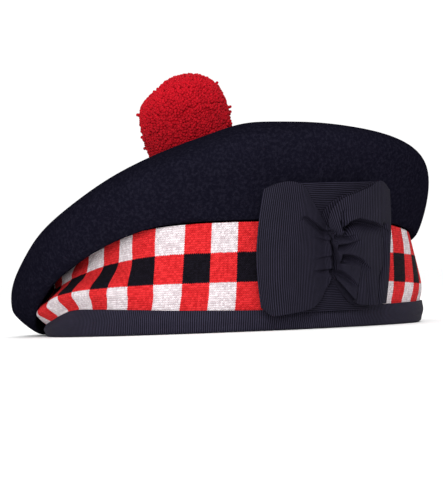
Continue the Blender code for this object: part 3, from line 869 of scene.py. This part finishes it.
# each row is a rib across the ribbon, from one woven edge to the other: its two ends as shares of the
# rosette's width and height, how far it curves along between them (belly), and how far the loop's two
# layers stand out, as shares of its depth
BOW_STATIONS = (
    {"low": (-0.545, -0.420), "high": (-0.575, 0.482), "belly": -0.032, "front": 0.62, "back": 0.49},
    {"low": (-0.480, -0.488), "high": (-0.500, 0.516), "belly": -0.028, "front": 0.72, "back": 0.43},
    {"low": (-0.380, -0.482), "high": (-0.415, 0.532), "belly": -0.022, "front": 0.76, "back": 0.40},
    {"low": (-0.280, -0.468), "high": (-0.312, 0.500), "belly": -0.014, "front": 0.72, "back": 0.38},
    {"low": (-0.176, -0.440), "high": (-0.233, 0.385), "belly": -0.006, "front": 0.66, "back": 0.35},
    {"low": (-0.118, -0.390), "high": (-0.165, 0.292), "belly": 0.0, "front": 0.60, "back": 0.33},
    {"low": (-0.071, -0.299), "high": (-0.105, 0.200), "belly": 0.0, "front": 0.55, "back": 0.30},
    {"low": (-0.024, -0.200), "high": (-0.054, 0.118), "belly": 0.004, "front": 0.54, "back": 0.27},
    {"low": (-0.006, -0.200), "high": (-0.044, 0.108), "belly": 0.008, "front": 0.34, "back": 0.24},
    {"low": (0.012, -0.240), "high": (-0.078, 0.136), "belly": 0.014, "front": 0.68, "back": 0.32},
    {"low": (0.046, -0.300), "high": (-0.120, 0.200), "belly": 0.020, "front": 0.86, "back": 0.37},
    {"low": (0.078, -0.345), "high": (-0.118, 0.290), "belly": 0.020, "front": 0.94, "back": 0.39},
    {"low": (0.110, -0.385), "high": (-0.035, 0.385), "belly": 0.010, "front": 0.98, "back": 0.41},
    {"low": (0.165, -0.428), "high": (0.080, 0.430), "belly": 0.005, "front": 0.97, "back": 0.42},
    {"low": (0.240, -0.437), "high": (0.190, 0.472), "belly": 0.005, "front": 0.92, "back": 0.43},
    {"low": (0.335, -0.440), "high": (0.300, 0.520), "belly": 0.020, "front": 0.80, "back": 0.45},
    {"low": (0.446, -0.430), "high": (0.412, 0.450), "belly": 0.036, "front": 0.62, "back": 0.47},
)
UPRIGHT_STATIONS = (
    {"low": (-0.36, -0.47), "high": (0.33, -0.47), "front": 0.26, "back": 0.13},
    {"low": (-0.32, -0.38), "high": (0.30, -0.38), "front": 0.36, "back": 0.11},
    {"low": (-0.21, -0.20), "high": (0.20, -0.20), "front": 0.32, "back": 0.00},
    {"low": (-0.11, 0.00), "high": (0.11, 0.00), "front": 0.05, "back": -0.17},
    {"low": (-0.21, 0.20), "high": (0.22, 0.20), "front": 0.26, "back": 0.00},
    {"low": (-0.32, 0.40), "high": (0.34, 0.40), "front": 0.34, "back": 0.11},
    {"low": (-0.36, 0.52), "high": (0.39, 0.52), "front": 0.30, "back": 0.15},
)
# pleats of the bow's front layer: the line of each, from its deep end to where it dies out, as shares
# of the rosette's width and height; how far the cloth on the line's left and on its right lifts, as
# shares of the depth; and how far it takes to lie flat again
BOW_PLEATS = (
    {"line": ((0.037, 0.112), (-0.014, 0.150), (-0.030, 0.201), (-0.030, 0.300)),
     "left": 0.06, "right": -0.70, "reach": 0.0026},
    {"line": ((-0.010, 0.110), (0.047, 0.205), (0.111, 0.226), (0.196, 0.209), (0.284, 0.190), (0.358, 0.160),
              (0.460, 0.120)),
     "left": 0.08, "right": -0.84, "reach": 0.0037},
    {"line": ((0.002, -0.110), (0.008, -0.045), (0.060, -0.048), (0.108, -0.060), (0.170, -0.090),
              (0.260, -0.165)),
     "left": 0.07, "right": -0.68, "reach": 0.0028},
    {"line": ((-0.060, 0.112), (-0.020, 0.100), (0.050, 0.096), (0.120, 0.110)),
     "left": 0.03, "right": -0.44, "reach": 0.0015},
    {"line": ((-0.034, 0.030), (0.020, 0.034), (0.080, 0.048), (0.150, 0.070)),
     "left": 0.04, "right": -0.40, "reach": 0.0017},
    {"line": ((-0.040, -0.135), (0.030, -0.185), (0.088, -0.235), (0.150, -0.300)),
     "left": 0.05, "right": -0.46, "reach": 0.0020},
    {"line": ((-0.041, 0.119), (-0.122, 0.160), (-0.213, 0.224), (-0.260, 0.254), (-0.290, 0.258),
              (-0.320, 0.225)),
     "left": -0.26, "right": 0.05, "reach": 0.0018},
    {"line": ((-0.010, -0.145), (-0.060, -0.152), (-0.180, -0.160)),
     "left": -0.28, "right": 0.03, "reach": 0.0015},
    {"line": ((-0.030, 0.060), (-0.100, 0.080), (-0.200, 0.110)),
     "left": -0.12, "right": 0.02, "reach": 0.0020},
    {"line": ((-0.020, -0.040), (-0.090, -0.055), (-0.190, -0.070)),
     "left": -0.12, "right": 0.02, "reach": 0.0020},
    {"line": ((0.341, -0.520), (0.341, -0.362), (0.341, -0.209), (0.380, -0.131), (0.376, 0.020),
              (0.362, 0.220)),
     "left": 0.05, "right": -0.32, "reach": 0.0028},
    {"line": ((0.352, 0.200), (0.374, 0.020), (0.380, -0.131), (0.345, -0.300)),
     "left": -0.38, "right": 0.05, "reach": 0.0026},
    {"line": ((0.120, -0.480), (0.128, -0.392), (0.145, -0.261), (0.185, -0.080)),
     "left": 0.05, "right": -0.28, "reach": 0.0030},
    {"line": ((0.245, -0.480), (0.240, -0.392), (0.225, -0.290), (0.200, -0.160)),
     "left": 0.03, "right": -0.18, "reach": 0.0028},
)


def rosette_place(along, up, depth):
    """Points of the rosette: along the head, above its middle and out from the band's face."""
    at = np.array([ROSETTE_ANGLE])
    base = head_place(at, 0.0, 0.0)[0]
    normal = head_place(at, 1.0, 0.0)[0] - base
    tangent = np.array([-normal[1], normal[0], 0])
    out = depth + ROSETTE_TILT * np.maximum(0, up) - along**2 / (2 * ROSETTE_BEND)
    height = ROSETTE_MIDDLE + up
    points = base + tangent * along[..., None] + normal * out[..., None]
    points[..., :2] += SLOUCH * height[..., None]
    points[..., 2] = height
    return points


def pleat_depth(pleats, places):
    """How far the pleats lift or press places of the front layer."""
    moved = np.zeros(len(places))
    for pleat in pleats:
        line = np.array(pleat["line"]) * ROSETTE_SIZE
        best = np.full(len(places), np.inf)
        side, taper = np.zeros(len(places)), np.zeros(len(places))
        for k, (start, end) in enumerate(zip(line, line[1:])):
            run = end - start
            point = places - start
            share = np.clip(point @ run / (run @ run), 0, 1)
            away = point - share[:, None] * run
            far = np.hypot(away[:, 0], away[:, 1])
            near = far < best
            best[near] = far[near]
            side[near] = np.sign(run[0] * point[near, 1] - run[1] * point[near, 0])
            taper[near] = (k + share[near]) / (len(line) - 1)
        taper = np.clip(taper / PLEAT_START, 0, 1) * (1 - taper) ** PLEAT_FADE
        fall = np.exp(-((best / pleat["reach"]) ** PLEAT_FALL))
        edge = np.tanh(side * best / PLEAT_EDGE) / 2 + 0.5
        moved += taper * fall * (edge * pleat["left"] + (1 - edge) * pleat["right"])
    return moved * ROSETTE_DEPTH


def ribbon_loop(name, stations, pleats, steps, front_steps, across):
    """A flattened loop of ribbon, front layer and back layer, joined at both folded ends."""
    piece, u, v = flat_cloth(name, steps, across)
    low = np.array([row["low"] for row in stations]) * ROSETTE_SIZE
    high = np.array([row["high"] for row in stations]) * ROSETTE_SIZE
    strides = np.hypot(*np.diff(low, axis=0).T) / 2 + np.hypot(*np.diff(high, axis=0).T) / 2
    keys = np.concatenate([[0], np.cumsum(strides)])
    i = np.rint(u * steps).astype(int)
    front = i <= front_steps
    share = np.where(front, i / front_steps, (steps - i) / (steps - front_steps))
    at = keys[-1] * (1 - np.cos(math.pi * share)) / 2
    first, last = smooth_at(keys, low, at), smooth_at(keys, high, at)
    places = first + (last - first) * v[:, None]
    belly = smooth_at(keys, [row.get("belly", 0.0) for row in stations], at) * ROSETTE_WIDTH
    places[:, 0] += belly * 4 * v * (1 - v)
    fore = smooth_at(keys, [row["front"] for row in stations], at)
    rear = smooth_at(keys, [row["back"] for row in stations], at)
    round_end = np.sqrt(np.clip(np.sin(math.pi * share), 0, 1))
    depth = (fore + rear) / 2 + np.where(front, 1, -1) * np.abs(fore - rear) / 2 * round_end
    depth = depth * ROSETTE_DEPTH + np.where(front, pleat_depth(pleats, places), 0) * round_end
    set_corners(piece.data, rosette_place(places[:, 0], places[:, 1], ROSETTE_SEAT + depth))
    set_cloth_places(piece, np.where(front, at, 2 * keys[-1] - at), v * ROSETTE_HEIGHT)
    stride, rib = low[1] - low[0], high[0] - low[0]
    if stride[0] * rib[1] < stride[1] * rib[0]:  # ribs to the right of the run leave the faces inward
        turn_faces(piece)
    close_seams(piece)
    add_wall(piece, GROSGRAIN_WALL)
    return piece


rosette_look = ribbon_finish("black grosgrain", light=1.0)
upright = ribbon_loop("rosette_upright_loop", UPRIGHT_STATIONS, (), steps=160, front_steps=80, across=64)
finish_piece(upright, rosette_look, "ribbon", "rosette_upright")
bow = ribbon_loop("rosette_bow_loops", BOW_STATIONS, BOW_PLEATS, steps=300, front_steps=230, across=155)
finish_piece(bow, rosette_look, "ribbon", "rosette_bow")


# Studio: a very wide white table top under an even white sky, a soft light before the bonnet and a
# weak one behind it, and the camera at the wearer's left, low down.

CAMERA_DISTANCE = 1.5
CAMERA_HEIGHT = 0.030
CAMERA_AIM_HEIGHT = 0.0425
CAMERA_ALONG = -0.00533
CAMERA_ROLL = 2.2
METRES_A_PIXEL = 0.000545
PHOTO_WIDTH = 443
SENSOR_WIDTH = 36
SKY_STRENGTH = 1.05
# where each light stands, in metres towards the camera, to its right and up, and what it points at
LIGHTS = (
    {"name": "key", "place": (1.6, -0.1, 0.5), "aim": (0, 0, 0.05), "size": 0.8, "power": 30},
    {"name": "back", "place": (-1.3, 0.0, 1.2), "aim": (0, 0, 0.08), "size": 0.8, "power": 4},
)

deselect()
bpy.ops.mesh.primitive_circle_add(vertices=96, radius=30, fill_type="NGON")
floor = bpy.context.object
floor.name = "floor"
paper = Finish("white table top")
grain = paper.noise(paper.object_place(), 3.0, 2.0)
paper.set(base_color=paper.blend(grain, (0.94, 0.94, 0.94, 1), (0.96, 0.96, 0.96, 1)), roughness=0.9)
floor.data.materials.append(paper.material)

world = bpy.data.worlds.new("studio")
world.use_nodes = True
sky = world.node_tree.nodes["Background"]
sky.inputs["Color"].default_value = (1, 1, 1, 1)
sky.inputs["Strength"].default_value = SKY_STRENGTH
bpy.context.scene.world = world

right = Vector((*SEEN_RIGHT, 0))
toward = Vector((right.y, -right.x, 0))
centre = Vector((*MIDDLE, 0))

for row in LIGHTS:
    light = bpy.data.lights.new(row["name"], "AREA")
    light.energy, light.size = row["power"], row["size"]
    lamp = bpy.data.objects.new(row["name"], light)
    near, aside, up = row["place"]
    lamp.location = centre + toward * near + right * aside + Vector((0, 0, up))
    lamp.rotation_euler = (Vector(row["aim"]) - lamp.location).to_track_quat("-Z", "Y").to_euler()
    bpy.context.scene.collection.objects.link(lamp)

camera_data = bpy.data.cameras.new("camera")
camera = bpy.data.objects.new("camera", camera_data)
bpy.context.scene.collection.objects.link(camera)
camera_data.sensor_fit = "HORIZONTAL"
camera_data.sensor_width = SENSOR_WIDTH
camera_data.lens = SENSOR_WIDTH * CAMERA_DISTANCE / (METRES_A_PIXEL * PHOTO_WIDTH)
camera_data.clip_start, camera_data.clip_end = 0.05, 50
eye = centre + right * CAMERA_ALONG + toward * CAMERA_DISTANCE + Vector((0, 0, CAMERA_HEIGHT))
aim = centre + right * CAMERA_ALONG + Vector((0, 0, CAMERA_AIM_HEIGHT))
look_along = (aim - eye).to_track_quat("-Z", "Y").to_matrix()
camera.matrix_world = Matrix.Translation(eye) @ (
    look_along @ Matrix.Rotation(math.radians(-CAMERA_ROLL), 3, "Z")).to_4x4()
bpy.context.scene.camera = camera
bpy.context.scene.view_settings.view_transform = "Standard"

bpy.context.view_layer.update()
